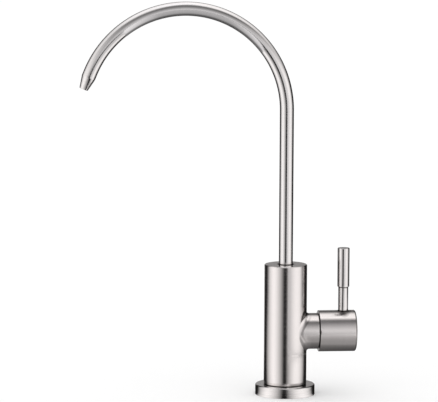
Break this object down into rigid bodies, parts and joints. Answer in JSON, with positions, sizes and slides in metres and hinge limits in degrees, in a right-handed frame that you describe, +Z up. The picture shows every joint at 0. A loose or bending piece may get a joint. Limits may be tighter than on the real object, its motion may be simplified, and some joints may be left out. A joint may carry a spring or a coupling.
{
  "type": "drinking water filter tap",
  "caption": "Deck-mounted drinking water filter tap with a swivelling gooseneck spout and a quarter-turn side lever.",
  "frame": {"origin": "centre of the deck face under the flange, which is also the mouth of the inlet thread", "axes": "+Z up along the column and the spout's riser, +X along the side valve, spout towards -X at rest"},
  "size_m": [0.207, 0.0446, 0.2952],
  "materials": {
    "body_steel": "brushed satin stainless steel",
    "flange_steel": "brushed satin stainless steel",
    "spout_steel": "brushed satin stainless steel tube",
    "hub_steel": "brushed satin stainless steel",
    "lever_steel": "brushed satin stainless steel bar",
    "screw_steel": "plain machined steel",
    "brass": "turned brass",
    "seal_rubber": "black moulded rubber",
    "black_plastic": "black moulded plastic",
    "white_plastic": "white low-friction plastic",
    "disc_ceramic": "lapped white ceramic",
    "dark_fibre": "pressed black fibre"
  },
  "bodies": {
    "tap_body": {"body": "body_steel", "deck_flange": "flange_steel", "deck_gasket": "seal_rubber", "inlet_socket": "brass", "inlet_o_ring": "seal_rubber", "mouth_ring": "black_plastic", "spout_washer": "white_plastic", "spout_grub_screw": "screw_steel", "cartridge_housing": "brass", "cartridge_washer": "dark_fibre", "seat_seal": "seal_rubber", "fixed_disc": "disc_ceramic", "spindle_washer": "white_plastic"},
    "spout": {"spout_tube": "spout_steel", "spout_spigot": "brass", "spout_o_ring_upper": "seal_rubber", "spout_o_ring_lower": "seal_rubber"},
    "handle": {"hub": "hub_steel", "lever": "lever_steel", "hub_grub_screw": "screw_steel", "spline_adapter": "black_plastic", "spindle": "brass", "moving_disc": "disc_ceramic", "spindle_o_ring_inner": "seal_rubber", "spindle_o_ring_outer": "seal_rubber", "spindle_circlip": "screw_steel"}
  },
  "joints": [
    {"name": "spout_swivel", "type": "hinge", "parent": "tap_body", "child": "spout", "pos_m": [0, 0, 0.083], "axis": [0, 0, 1], "continuous": true},
    {"name": "lever_turn", "type": "hinge", "parent": "tap_body", "child": "handle", "pos_m": [0.04, 0, 0.0476], "axis": [1, 0, 0], "range_deg": [0, 90]}
  ]
}
